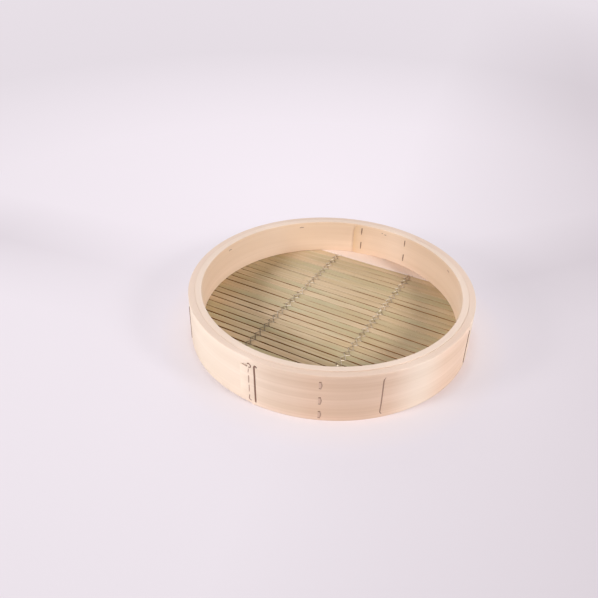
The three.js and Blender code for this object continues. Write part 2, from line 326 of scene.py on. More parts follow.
def bamboo_look():
    """Scraped bamboo: each slat drifts between tan and greenish stretches, with long streaks, fine
    fibres and faint joints. Its edges are paler, partly rubbed and partly a painted highlight. Its
    dark sides are their own brown deepened into painted shade in the gaps, with painted light on the
    rear sides towards the left."""
    look = Look("bamboo")
    grain = look.attribute("grain", "Vector")
    side = look.attribute("side")
    stretch = look.math("ADD", look.noise(grain, (7, 24, 24), 2, 0.5), look.attribute("hue"))
    stretch = look.span(stretch, 0.36, 0.64)
    cloud = look.span(look.noise(grain, (13, 45, 45), 3, 0.55), 0.36, 0.68)
    streaks = look.span(look.noise(grain, (4, 360, 360), 3, 0.6), 0.4, 0.72)
    fibres = look.noise(grain, (40, 3200, 3200), 2, 0.6)
    color = look.mix(stretch, tint(224, 195, 158), tint(192, 182, 141))
    color = look.stain(color, cloud, 0.6, tint(205, 171, 123))
    color = look.stain(color, streaks, 0.5, tint(172, 139, 96))
    color = look.mix(look.span(fibres, 0.55, 0.8, 0, 0.2), color, tint(128, 98, 68))
    color = look.stain(color, look.attribute("tone"), 0.3, tint(186, 156, 111))
    color = look.stain(color, look.attribute("knot"), 0.08, tint(140, 106, 70))
    # Paler edges: partly rubbed and partly a painted highlight.
    color = look.stain(color, look.attribute("edge"), 0.5, tint(232, 211, 178))
    # The sides' own brown, deepened into painted shade in the gaps.
    color = look.mix(side, color, tint(154, 98, 12))
    height = look.math("ADD", fibres, look.span(streaks, 0, 1, 0.7, 0))
    roughness = look.math("ADD", look.span(streaks, 0, 1, 0.62, 0.76), look.span(side, 0, 1, 0, 0.3))
    return look.dress(
        Base_Color=color,
        Roughness=roughness,
        Specular_IOR_Level=1.0,
        Anisotropic=0.9,
        Anisotropic_Rotation=0.25,
        Normal=look.bump(height, 0.00006),
    )


def bark_look():
    """Cherry bark strip: smooth brown with paler flecks across it, and pale where rubbed. It is darker
    where it goes into its holes and along one side of the loops: painted shade."""
    look = Look("bark")
    grain = look.attribute("grain", "Vector")
    flecks = look.span(look.noise(grain, (900, 260, 260), 2, 0.6), 0.5, 0.75)
    fibres = look.noise(grain, (300, 2600, 2600), 2, 0.6)
    color = look.mix(fibres, tint(116, 84, 70), tint(142, 108, 92))
    color = look.stain(color, flecks, 0.5, tint(164, 130, 112))
    color = look.mix(look.attribute("pale"), color, tint(226, 194, 174))
    # Painted shade where the strips go into their holes and beside the loops.
    color = look.mix(look.attribute("sunk"), color, tint(112, 76, 56))
    return look.dress(
        Base_Color=color,
        Roughness=look.span(fibres, 0.2, 0.8, 0.4, 0.6),
        Specular_IOR_Level=0.25,
        Normal=look.bump(look.math("ADD", fibres, flecks), 0.00006),
    )


def steel_look():
    """Drawn steel wire: fine lines along it, dulled and painted darker in patches with painted glints
    between them, and painted shade towards one end.
    """
    look = Look("steel_wire")
    grain = look.attribute("grain", "Vector")
    lines = look.noise(grain, (60, 5200, 5200), 2, 0.6)
    # Patches that are duller and painted darker, with painted glints between them.
    dull_patches_and_glints = look.span(look.noise(grain, (110, 400, 400), 3, 0.6), 0.4, 0.62)
    color = look.mix(dull_patches_and_glints, tint(232, 220, 204), tint(134, 109, 82))
    # Painted shade towards the front of the wire.
    color = look.stain(color, look.attribute("tarnish"), 0.75, tint(84, 66, 46))
    return look.dress(
        Base_Color=color,
        Metallic=1.0,
        Roughness=look.span(dull_patches_and_glints, 0, 1, 0.3, 0.46),
        Normal=look.bump(lines, 0.00002),
    )


def direct_rays(tree):
    """1 for what the camera sees, also in a reflection or through glass, and 0 for shed light."""
    rays = tree.nodes.new("ShaderNodeLightPath").outputs
    seen = rays["Is Camera Ray"]
    for name in ("Is Glossy Ray", "Is Transmission Ray"):
        either = tree.nodes.new("ShaderNodeMath")
        either.operation = "MAXIMUM"
        tree.links.new(seen, either.inputs[0])
        tree.links.new(rays[name], either.inputs[1])
        seen = either.outputs[0]
    return seen


def studio_floor_look():
    """Pale paper with soft patches of light and shade. It takes the shadow near the basket and fades
    into an even pale ground."""
    look = Look("studio_floor")
    nodes, links = look.tree.nodes, look.tree.links
    place = nodes.new("ShaderNodeNewGeometry").outputs["Position"]
    distance = look.vector_math("DISTANCE", place, GROUND_MIDDLE)
    dusk = look.span(look.vector_math("DOT_PRODUCT", place, GROUND_DUSK_WAY), *GROUND_DUSK)
    dim = look.span(look.vector_math("DISTANCE", place, GROUND_GLOW), *GROUND_GLOW_REACH)
    paper = look.mix(
        dim,
        look.mix(dusk, tint(250, 241, 249), tint(234, 225, 232)),
        look.mix(dusk, tint(229, 221, 228), tint(213, 204, 211)))
    for azimuth, reach, depth in GROUND_SHADES:
        turn = math.radians(azimuth)
        way, square = (math.cos(turn), math.sin(turn), 0), (-math.sin(turn), math.cos(turn), 0)
        onward = look.vector_math("DOT_PRODUCT", place, way)
        aside = look.math("ABSOLUTE", look.vector_math("DOT_PRODUCT", place, square), 0)
        shade = look.span(aside, 0, GROUND_SHADE_WIDTH, depth, 0)
        shade = look.math("MULTIPLY", look.span(onward, *reach), shade)
        shade = look.math("MULTIPLY", shade, look.span(onward, *GROUND_SHADE_END, 1, 0))
        paper = look.mix(shade, paper, tint(190, 180, 187))
    paper = look.mix(look.span(distance, *GROUND_EVEN), paper, tint(232, 224, 231))
    warm = look.span(distance, *GROUND_WARM, GROUND_WARMTH, 0)
    paper = look.mix(warm, paper, tint(244, 224, 212))
    seen = direct_rays(look.tree)
    near = look.span(distance, *GROUND_START, 0, GROUND_NEAR)
    far = look.span(distance, *GROUND_FADE, 0, 1 - GROUND_NEAR)
    ground = nodes.new("ShaderNodeEmission")
    look.feed(ground.inputs["Color"], paper)
    blend = nodes.new("ShaderNodeMixShader")
    look.feed(blend.inputs[0], look.math("MULTIPLY", seen, look.math("ADD", near, far)))
    links.new(look.surface.outputs[0], blend.inputs[1])
    links.new(ground.outputs[0], blend.inputs[2])
    links.new(blend.outputs[0], nodes["Material Output"].inputs["Surface"])
    return look.dress(Base_Color=paper, Roughness=0.9, Specular_IOR_Level=0.1)


HINOKI = hinoki_look()
BAMBOO = bamboo_look()
BARK = bark_look()
STEEL = steel_look()


# Mesh making


def rounded_section(low, high, radii, flat_rows=0, side_rows=0, corner_steps=4):
    """Points round a box with rounded corners, counter-clockwise from the bottom right, and how
    much each of them belongs to an edge. Radii are those of its left and right corners."""
    turns = np.linspace(0, np.pi / 2, corner_steps + 1)
    left, right = radii
    corners = [
        ((high[0] - right, low[1] + right), right, -np.pi / 2, side_rows),
        ((high[0] - right, high[1] - right), right, 0, flat_rows),
        ((low[0] + left, high[1] - left), left, np.pi / 2, side_rows),
        ((low[0] + left, low[1] + left), left, np.pi, flat_rows),
    ]
    arcs = [
        np.array(centre) + radius * np.stack([np.cos(turns + start), np.sin(turns + start)], -1)
        for centre, radius, start, _ in corners
    ]
    points, edge = [], []
    for arc, following, (_, _, _, rows) in zip(arcs, arcs[1:] + arcs[:1], corners):
        points += list(arc)
        edge += [1.0] * len(arc)
        shares = smoothstep(np.arange(1, rows + 1) / (rows + 1))
        points += [arc[-1] + (following[0] - arc[-1]) * share for share in shares]
        edge += [0.0] * rows
    return np.array(points), np.array(edge)


def loft(rings):
    """Vertices and faces of a tube through rings of as many points, closed at both ends."""
    count, size = rings.shape[:2]
    faces = [
        (i * size + j, i * size + (j + 1) % size, (i + 1) * size + (j + 1) % size, (i + 1) * size + j)
        for i in range(count - 1)
        for j in range(size)
    ]
    faces.append(tuple(range(size)))
    faces.append(tuple(range((count - 1) * size, count * size)))
    return rings.reshape(-1, 3), faces


def smooth_curve(points, steps):
    """A smooth curve through the points."""
    points = np.asarray(points, float)
    padded = np.vstack([2 * points[0] - points[1], points, 2 * points[-1] - points[-2]])
    curve = []
    for a, b, c, d in zip(padded, padded[1:], padded[2:], padded[3:]):
        for t in np.arange(steps) / steps:
            curve.append(
                0.5 * (2 * b + (c - a) * t + (2 * a - 5 * b + 4 * c - d) * t**2
                       + (3 * b - a - 3 * c + d) * t**3)
            )
    return np.array(curve + [points[-1]])


def sweep(path, section, facing, widths):
    """Rings of a section along a path. Facing is the section's second axis at the start, and
    widths scale its first axis at each point."""
    ways = np.gradient(path, axis=0)
    ways /= np.linalg.norm(ways, axis=1)[:, None]
    side = Vector(facing)
    rings = []
    for i, (point, way) in enumerate(zip(path, ways)):
        if i:
            side.rotate(Vector(ways[i - 1]).rotation_difference(Vector(way)))
        side = (side - Vector(way) * side.dot(Vector(way))).normalized()
        across = np.array(Vector(way).cross(side)) * widths[i]
        rings.append(point + section[:, :1] * across + section[:, 1:] * np.array(side))
    return np.array(rings)


def along(path):
    """The length of a path up to each of its points."""
    return np.concatenate([[0], np.cumsum(np.linalg.norm(np.diff(path, axis=0), axis=1))])


def add_piece(name, node, slot, material, vertices, faces, pole=None, **attributes):
    """A piece in place of a node. Its fibres run round the pole, or else round its own middle."""
    mesh = bpy.data.meshes.new(name)
    mesh.from_pydata([tuple(vertex) for vertex in vertices], [], faces)
    for key, values in attributes.items():
        kind, field = ("FLOAT_VECTOR", "vector") if np.ndim(values) == 2 else ("FLOAT", "value")
        layer = mesh.attributes.new(key, kind, "POINT")
        layer.data.foreach_set(field, np.asarray(values, np.float32).ravel())
    shell = bmesh.new()
    shell.from_mesh(mesh)
    bmesh.ops.recalc_face_normals(shell, faces=shell.faces)
    shell.to_mesh(mesh)
    shell.free()
    mesh.shade_smooth()
    mesh.set_sharp_from_angle(angle=SHARP_ANGLE)
    if pole is not None:
        mesh.use_auto_texspace = False
        mesh.texspace_location = pole
        mesh.texspace_size = (1, 1, 1)
    piece = bpy.data.objects.new(name, mesh)
    bpy.context.scene.collection.objects.link(piece)
    piece.data.materials.append(material)
    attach(piece, "root")
    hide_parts(node)


# Bent bands


def band_radii(turn, overlap, step, inner, outer):
    """Inner and outer radius of a band lapped on itself, by degrees from its outer tip."""
    place = np.where(turn <= overlap, turn, turn - 360)
    share = np.clip((place - LAP_FLAT) / (overlap - 2 * LAP_FLAT), 0, 1)
    glue = outer - step + (inner - outer + 2 * step) * share
    sunk = step * smoothstep((turn - 360 + LAP_SETTLE) / LAP_SETTLE)
    raised = step * (1 - smoothstep((turn - overlap) / LAP_SETTLE))
    outside = np.where(turn <= 360, outer - sunk, glue - LAP_GAP / 2)
    inside = np.where(turn < overlap, glue + LAP_GAP / 2, inner + raised)
    inside = np.where(turn > 360, inner, inside)
    return inside, outside


def round_off(share):
    """The part of a corner that a quarter ellipse leaves out, by the share of its width."""
    return 1 - np.sqrt(1 - np.clip(1 - share, 0, 1) ** 2)


def tongue(tip):
    """How much is cut away below and above a tongue, by the distance from its tip."""
    narrow = 1 - smoothstep((tip - TONGUE_LENGTH) / TONGUE_SHOULDER)
    corner = TONGUE_CORNER * round_off(tip / TONGUE_CORNER)
    return TONGUE_CUT[0] * narrow + corner, TONGUE_CUT[1] * narrow + corner


def rounded_tip(tip):
    """How much is cut away at the lower and upper corner of an inner band's tip."""
    corner = round_off(tip / CORNER_WIDTH)
    return LOWER_CORNER_HEIGHT * corner, CORNER_HEIGHT * corner


def square_tip(tip):
    """How much is cut away at both corners of a plain tip."""
    corner = TONGUE_CORNER * round_off(tip / TONGUE_CORNER)
    return corner, corner


def add_band(name, node, thickness, lap, step, cut, inside_tip, edges, tone, worn, pale, warm,
             grow=(0, 0, 0)):
    """A strip bent to a hoop and lapped on itself. The tip that shows lies inside or outside, is cut
    to a shape and has a tone. Edges are the radii inside and outside. The rim tone (worn) is how pale
    the rim is, or how tan if it is negative. Pale and warm are shares by azimuth; their stretches are
    partly the wood's tone and partly painted sheen, painted shade and painted bounce light. Grow moves
    the outer face, the bottom and the top outward."""
    low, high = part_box(node)
    outer = high.x + grow[0]
    inner = high.x - thickness
    overlap = lap[1] - lap[0]
    last = 360 + overlap
    tip_turn = math.degrees(TIP_LENGTH / outer)
    turn = np.concatenate([
        np.linspace(0, tip_turn, TIP_STEPS),
        np.linspace(tip_turn, last - tip_turn, BAND_STEPS)[1:-1],
        np.linspace(last - tip_turn, last, TIP_STEPS),
    ])
    angle = np.radians(lap[0] + turn)
    inside, outside = band_radii(turn, overlap, step, inner, outer)
    from_tip = np.radians(last - turn if inside_tip else turn) * outer
    cut_below, cut_above = cut(from_tip)
    rim = Drift(2 * np.pi)
    bottom = low.z - grow[1] + cut_below
    top = high.z + grow[2] - cut_above - RIM_WAVE * (1 + rim(angle)) / 2
    start = random.uniform(0, WOOD_STEM)
    rings, grain, wear = [], [], []
    for i in range(len(turn)):
        radii = np.minimum(edges, EDGE_SHARE * (outside[i] - inside[i]))
        section, _ = rounded_section(
            (inside[i], bottom[i]), (outside[i], top[i]), radii, flat_rows=3, side_rows=9)
        r, z = section.T
        rings.append(np.stack([r * np.cos(angle[i]), r * np.sin(angle[i]), z], -1))
        arc = start + np.radians(turn[i]) * outer
        grain.append(np.stack([np.full_like(r, arc), z, r], -1))
        wear.append(worn * smoothstep((z - high.z + BAND_EDGE) / BAND_EDGE))
    rings = np.array(rings)
    vertices, faces = loft(rings)
    add_piece(name, node, "hinoki", HINOKI, vertices, faces,
              grain=np.concatenate(grain), worn=np.concatenate(wear),
              pale=np.repeat(pale(np.degrees(angle)), rings.shape[1]),
              warm=np.repeat(warm(np.degrees(angle)), rings.shape[1]),
              tip=np.repeat(tone * np.exp(-from_tip / TIP_FADE), rings.shape[1]))


def shares(base, *stretches):
    """A share along a band by azimuth: a base, and more or less of it round some azimuths."""
    def share(azimuth):
        total = np.full(len(azimuth), float(base))
        for middle, width, more in stretches:
            off = (azimuth - middle + 180) % 360 - 180
            total += more * np.exp(-((off / width) ** 2))
        return total
    return share


# The outer band's pale and darker stretches by azimuth are partly the wood's tone and partly painted
# sheen, painted shade and a painted reflection near the right limb.
add_band("outer_band", "outer_hoop", OUTER_BAND, OUTER_LAP, OUTER_STEP, tongue, inside_tip=False,
         edges=(MEETING_EDGE, BAND_EDGE), tone=-1, worn=-1,
         pale=shares(0.2, (-144, 30, 0.65), (-81, 15, -0.58), (-55, 8, 0.5), (-34, 11, -0.42),
                     (-16, 8, 0.6)),
         warm=shares(0))
# The inner band's warmer tint is painted bounce light, and its paler and warmer stretches round 62 and
# 118 degrees are painted highlights.
add_band("upper_inner_band", "upper_inner_hoop", INNER_BAND, UPPER_LAP, INNER_STEP, rounded_tip,
         inside_tip=True, edges=(BAND_EDGE, MEETING_EDGE), tone=1, worn=0.6,
         pale=shares(0.35, (118, 24, 0.2)), warm=shares(0.35, (62, 18, 0.3), (118, 24, 0.4)),
         grow=(SNUG, SNUG, 0))
add_band("lower_inner_band", "lower_inner_hoop", INNER_BAND, LOWER_LAP, INNER_STEP, square_tip,
         inside_tip=True, edges=(BAND_EDGE, MEETING_EDGE), tone=0.6, worn=0,
         pale=shares(0.2), warm=shares(0), grow=(SNUG, 0, SNUG))


# Floor, in its own frame: slats run along the first axis, from front to rear along the second

FLOOR_TURN = np.array(Matrix.Rotation(FLOOR_AZIMUTH, 3, "Z"))


def floor_box(node):
    """A node's lowest and highest corner in the floor's frame."""
    points = np.array([vertex.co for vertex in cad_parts[node].data.vertices])
    turned = points @ FLOOR_TURN
    return turned.min(0), turned.max(0)


def to_world(points):
    """Points of the floor's frame in the frame of the basket."""
    return points @ FLOOR_TURN.T


class Gap:
    """A gap beside a slat: how far the slats on both sides grow into it, along its length."""

    def __init__(self, wide, lean):
        self.tightness = random.uniform(*(WIDE_TIGHTNESS if wide else NARROW_TIGHTNESS))
        self.lean = lean * random.uniform(-1, 1)
        self.drift = Drift(GAP_WAVE)

    def growth(self, u):
        share = np.clip(self.tightness + GAP_UNEVENNESS * self.drift(u), 0, 1)
        room = smoothstep((np.abs(np.abs(u) - WIRE_OFFSET) - WIRE_ROOM) / WIRE_ROOM_FADE)
        return room * (GAP_CLOSE[0] + (GAP_CLOSE[1] - GAP_CLOSE[0]) * share)

    def stray(self, u):
        return self.lean * u / FLOOR_RADIUS


def add_slat(number, front, rear):
    """A split slat between two gaps, with a flat crown, wavy edges and a joint or two."""
    node = f"slat_{number:02d}"
    low, high = floor_box(node)
    section, edge = rounded_section(
        low[1:], high[1:], (SLAT_EDGE, SLAT_EDGE), flat_rows=7, side_rows=2)
    v, z = section.T
    reach = np.sqrt(FLOOR_RADIUS**2 - v**2)
    longest = reach.max()
    joints = random.uniform(*JOINT_START) + np.array([0, random.uniform(*JOINT_SPACING)])
    near_joint = np.linspace(-JOINT_REACH, JOINT_REACH, JOINT_STEPS) * JOINT_WIDTH
    by_joints = (joints[:, None] + near_joint) / longest
    steps = np.concatenate([np.linspace(-1, 1, SLAT_STEPS), *by_joints])
    steps = np.sort(steps[np.abs(steps) <= 1])
    u = steps[:, None] * reach
    side = (2 * v - low[1] - high[1]) / (high[1] - low[1])
    shift = np.where(side < 0, side * front.growth(u), side * rear.growth(u))
    shift += ((1 - side) * front.stray(u) + (1 + side) * rear.stray(u)) / 2
    upper = z > (low[2] + high[2]) / 2
    knot = sum(np.exp(-((u - joint) / JOINT_WIDTH) ** 2) for joint in joints)
    dip = sum(np.exp(-((u - joint - 2 * JOINT_WIDTH) / JOINT_WIDTH) ** 2) for joint in joints)
    swell = JOINT_HEIGHT * (knot - JOINT_DIP * dip - JOINT_SINK)
    lift = np.where(upper, swell - SLAT_CROWN * side**2, 0)
    rings = np.stack([u, v + shift, z + lift], -1)
    vertices, faces = loft(to_world(rings))
    grain = np.stack(np.broadcast_arrays(u + SLAT_GRAIN_STEP * number, v, z), -1)
    # Painted shade on the sides, darker with depth and less beside the wires.
    depth = (high[2] - z) / (high[2] - low[2])
    from_wire = np.abs(np.abs(u) - WIRE_OFFSET)
    open_side = SIDE_AT_WIRE + (1 - SIDE_AT_WIRE) * smoothstep(from_wire / WIRE_ROOM - SIDE_CLEAR)
    shade = smoothstep(depth / SIDE_DEPTH) * open_side
    # Painted light on the sides of the rear slats towards the left, where the lamp falls on them.
    pale = (smoothstep((SIDE_PALE_FROM[0] - u) / SIDE_PALE_FADE)
            * smoothstep((v - SIDE_PALE_FROM[1]) / SIDE_PALE_FADE))
    shade *= 1 - SIDE_PALE * pale
    count = len(steps)
    add_piece(f"bamboo_slat_{number:02d}", node, "bamboo", BAMBOO, vertices, faces,
              pole=to_world(np.array([0, FAR_POLE, 0])),
              grain=grain.reshape(-1, 3), knot=knot.ravel(),
              edge=np.tile(edge * upper, count), side=shade.ravel(),
              tone=np.full(u.size, random.uniform()),
              hue=np.full(u.size, random.uniform(-SLAT_HUE, SLAT_HUE)))


def add_bar(name, node):
    """A bar across the slats, below them."""
    low, high = floor_box(node)
    section, edge = rounded_section(
        low[[0, 2]], high[[0, 2]], (BAR_EDGE, BAR_EDGE), flat_rows=3, side_rows=3)
    v = np.linspace(low[1], high[1], SLAT_STEPS)
    u, z = section.T
    rings = np.stack(np.broadcast_arrays(u, v[:, None], z), -1)
    vertices, faces = loft(to_world(rings))
    grain = rings.reshape(-1, 3)[:, [1, 0, 2]] + np.array([random.uniform(0, WOOD_STEM), 0, 0])
    add_piece(name, node, "bamboo", BAMBOO, vertices, faces, grain=grain,
              edge=np.tile(edge, len(v)), tone=np.full(len(vertices), 0.5))


def add_end_board(name, node, way):
    """A segment between a straight edge and the wall, at the front or rear of the floor."""
    low, high = floor_box(node)
    chord = min(abs(low[1]), abs(high[1]))
    lean = np.linspace(0, np.pi / 2, 5)
    levels = np.concatenate([
        low[2] + BOARD_EDGE * (1 - np.cos(lean)), high[2] - BOARD_EDGE * (1 - np.cos(lean[::-1]))])
    insets = BOARD_EDGE * (1 - np.sin(np.concatenate([lean, lean[::-1]])))
    start = np.array([random.uniform(0, WOOD_STEM), 0, 0])
    rings = []
    for level, inset in zip(levels, insets):
        radius = FLOOR_RADIUS - inset
        edge_at = chord + inset
        ends = math.asin(edge_at / radius)
        angle = np.linspace(ends, np.pi - ends, BOARD_STEPS)
        arc = np.stack([radius * np.cos(angle), radius * np.sin(angle)], -1)
        straight = np.stack([
            np.linspace(arc[-1, 0], arc[0, 0], BOARD_STEPS)[1:-1],
            np.full(BOARD_STEPS - 2, edge_at)], -1)
        outline = np.vstack([arc, straight])
        rings.append(np.column_stack([outline * way, np.full(len(outline), level)]))
    rings = np.array(rings)
    vertices, faces = loft(to_world(rings))
    # The board is made pale all over: painted light that lifts it out of the wall's shade.
    add_piece(name, node, "hinoki", HINOKI, vertices, faces, grain=rings.reshape(-1, 3) + start,
              pale=np.ones(len(vertices)), worn=np.ones(len(vertices)))


slat_count = sum(node.startswith("slat_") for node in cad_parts)
gaps = [Gap(wide=number in WIDE_GAPS, lean=GAP_LEAN if 0 < number < slat_count else 0)
        for number in range(slat_count + 1)]
for number in range(1, slat_count + 1):
    add_slat(number, gaps[number - 1], gaps[number])
add_bar("crossbar_strip_left", "crossbar_left")
add_bar("crossbar_strip_right", "crossbar_right")
add_end_board("front_segment", "end_board_front", -1)
add_end_board("rear_segment", "end_board_rear", 1)


# Lashing wires


def gap_lines():
    """The middle of each gap between slats, and of those beside the end boards."""
    boxes = [floor_box(f"slat_{number:02d}") for number in range(1, slat_count + 1)]
    fronts = np.array([low[1] for low, _ in boxes])
    rears = np.array([high[1] for _, high in boxes])
    half = (fronts[1] - rears[0]) / 2
    return [fronts[0] - half, *((rears[:-1] + fronts[1:]) / 2), rears[-1] + half]


def round_corners(corners, reach, steps=5):
    """The corners of a path, each drawn as a short even bend."""
    path = [corners[0]]
    for before, corner, after in zip(corners, corners[1:], corners[2:]):
        start = corner + (before - corner) / np.linalg.norm(before - corner) * reach
        end = corner + (after - corner) / np.linalg.norm(after - corner) * reach
        for t in np.linspace(0, 1, steps):
            path.append((1 - t) ** 2 * start + 2 * t * (1 - t) * corner + t**2 * end)
    return np.array(path + [corners[-1]])


def strand_corners(bar, way, layer, wander):
    """Corners of a strand wound round a bar: down each gap, under the bar, up and slantwise over a
    slat. Way 1 or -1 is its hand, and layer 1 passes over layer 0 on each slat."""
    low, high = floor_box(bar)
    middle, half = (low[0] + high[0]) / 2, (high[0] - low[0]) / 2
    lift = WIRE_DIAMETER / 2 + WIRE_LIFT
    reach = lift + layer * (WIRE_DIAMETER + WIRE_LIFT)
    over, under = floor_box("slat_01")[1][2] + lift, low[2] - reach
    lines = gap_lines()
    corners = []
    for i in range(len(lines) - 1, -1, -1):
        first, second = wander[i, ::way]
        start = middle + way * (half + reach + first)
        end = middle - way * (half + reach + second)
        if i < len(lines) - 1:
            corners.append((start, lines[i], over))
        corners.append((start, lines[i], under))
        corners.append((end, lines[i], under))
        if i > 0:
            corners.append((end, lines[i], over))
            if layer:
                crossing = (lines[i] + lines[i - 1]) / 2
                corners.append((middle, crossing, over + WIRE_DIAMETER + WIRE_LIFT))
    return np.array(corners)


def add_wire(name, node, bar, tarnished):
    """A lashing of two strands that cross on each slat. It may be painted darker towards its front
    end, as painted shade.
    """
    turns = np.linspace(0, 2 * np.pi, WIRE_SIDES, endpoint=False)
    section = WIRE_DIAMETER / 2 * np.stack([np.cos(turns), np.sin(turns)], -1)
    wander = random.uniform(0, WIRE_WANDER, (slat_count + 1, 2))
    vertices, faces, grain, tarnish = [], [], [], []
    for layer, way in enumerate((1, -1)):
        path = round_corners(strand_corners(bar, way, layer, wander), WIRE_BEND)
        strand, strand_faces = loft(to_world(sweep(path, section, (0, 1, 0), np.ones(len(path)))))
        first = len(vertices)
        faces += [tuple(first + index for index in face) for face in strand_faces]
        vertices += list(strand)
        lengthwise = along(path)[:, None] + STRAND_GRAIN_STEP * layer
        grain += list(np.stack(np.broadcast_arrays(
            lengthwise, turns * WIRE_DIAMETER / 2, 0.0), -1).reshape(-1, 3))
        # Painted shade: the wire turns darker towards the front.
        share = tarnished * smoothstep((FRONT_SHADE_START - path[:, 1]) / FRONT_SHADE_FADE)
        tarnish += list(np.repeat(share, WIRE_SIDES))
    add_piece(name, node, "steel_wire", STEEL, vertices, faces, grain=grain, tarnish=tarnish)


add_wire("wire_left", "lashing_wire_left", "crossbar_left", tarnished=1)
add_wire("wire_right", "lashing_wire_right", "crossbar_right", tarnished=0)


# Bark strips

OUTER_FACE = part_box("outer_hoop")[1].x
INNER_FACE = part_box("upper_inner_hoop")[1].x - INNER_BAND


class Strips:
    """Bark strips that make up one stitch: each comes out of a wall, follows it and goes back."""

    def __init__(self, face, way, azimuth):
        """Face is the wall's radius and way 1 on its outside or -1 on its inside."""
        self.face, self.way, self.azimuth = face, way, math.radians(azimuth)
        self.vertices, self.faces = [], []
        self.grain, self.pale, self.sunk = [], [], []

    def add(self, points, width=DASH_WIDTH, taper=(0.8, 0.8), pale=0.0, hole=0.0, shade=0.0,
            proud=BARK_PROUD):
        """A strip along (sideways, level) points on the wall. Sideways runs with the azimuth. Taper
        is the share of the width at its two ends, hole how dark the ends are with painted shade of the
        holes, and shade how dark the side to the right is with a painted shadow."""
        flat = smooth_curve(points, 8)
        angle = self.azimuth + flat[:, 0] / self.face
        radius = self.face + self.way * (proud - BARK_THICKNESS / 2)
        shown = np.stack([radius * np.cos(angle), radius * np.sin(angle), flat[:, 1]], -1)
        head = self.leg(shown[0], shown[0] - shown[1])
        tail = self.leg(shown[-1], shown[-1] - shown[-2])
        path = np.vstack([head[::-1], shown, tail])
        place = along(path)
        from_head = np.clip(place - place[len(head)], 0, None)
        from_tail = np.clip(place[-1 - len(tail)] - place, 0, None)
        widths = np.minimum(taper[0] + (1 - taper[0]) * smoothstep(from_head / BARK_TAPER),
                            taper[1] + (1 - taper[1]) * smoothstep(from_tail / BARK_TAPER))
        section, _ = rounded_section(
            (-width / 2, -BARK_THICKNESS / 2), (width / 2, BARK_THICKNESS / 2),
            (BARK_EDGE, BARK_EDGE), flat_rows=3, corner_steps=3)
        rings = sweep(path, section, shown[0] - shown[1], widths)
        vertices, faces = loft(rings)
        first = sum(len(part) for part in self.vertices)
        self.vertices.append(vertices)
        self.faces += [tuple(first + index for index in face) for face in faces]
        grain = np.stack(np.broadcast_arrays(
            place[:, None] + random.uniform(0, BARK_STEM), section[:, 0], section[:, 1]), -1)
        self.grain.append(grain.reshape(-1, 3))
        # Painted shade where the strip goes into the wall and at its ends, and a painted shadow along
        # its right side.
        depth = self.way * (self.face - np.hypot(path[:, 0], path[:, 1]))
        ends = hole * (1 - smoothstep(np.minimum(from_head, from_tail) / HOLE_SHADE))
        dip = depth - (BARK_THICKNESS / 2 - proud)
        sunk = np.maximum(smoothstep(dip / BARK_BEND), ends)
        aside = shade * smoothstep(-2 * section[:, 0] / width)
        self.sunk.append(np.maximum(sunk[:, None], aside).ravel())
        self.pale.append(np.full(len(vertices), pale))

    def leg(self, end, onward):
        """The bend into the wall and the straight stretch in it, after an end of a strip."""
        onward = onward / np.linalg.norm(onward)
        inward = -self.way * np.array([end[0], end[1], 0]) / math.hypot(end[0], end[1])
        turn = np.linspace(0, np.pi / 2, 6)[1:, None]
        bend = end + BARK_BEND * (np.sin(turn) * onward + (1 - np.cos(turn)) * inward)
        return np.vstack([bend, bend[-1] + BARK_DEPTH * inward])

    def join(self, other):
        """Takes over the strips of the same stitch on another wall."""
        first = sum(len(part) for part in self.vertices)
        self.faces += [tuple(first + index for index in face) for face in other.faces]
        for mine, theirs in ((self.vertices, other.vertices), (self.grain, other.grain),
                             (self.pale, other.pale), (self.sunk, other.sunk)):
            mine += theirs

    def finish(self, name, node):
        add_piece(name, node, "bark", BARK, np.concatenate(self.vertices), self.faces,
                  grain=np.concatenate(self.grain), pale=np.concatenate(self.pale),
                  sunk=np.concatenate(self.sunk))


def middle_azimuth(node):
    """The azimuth of a stitch's foot, in degrees."""
    points = np.array([vertex.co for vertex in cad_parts[node].data.vertices])
    foot = points[points[:, 2] < points[:, 2].min() + FOOT_HEIGHT]
    return math.degrees(math.atan2(*foot.mean(0)[[1, 0]]))


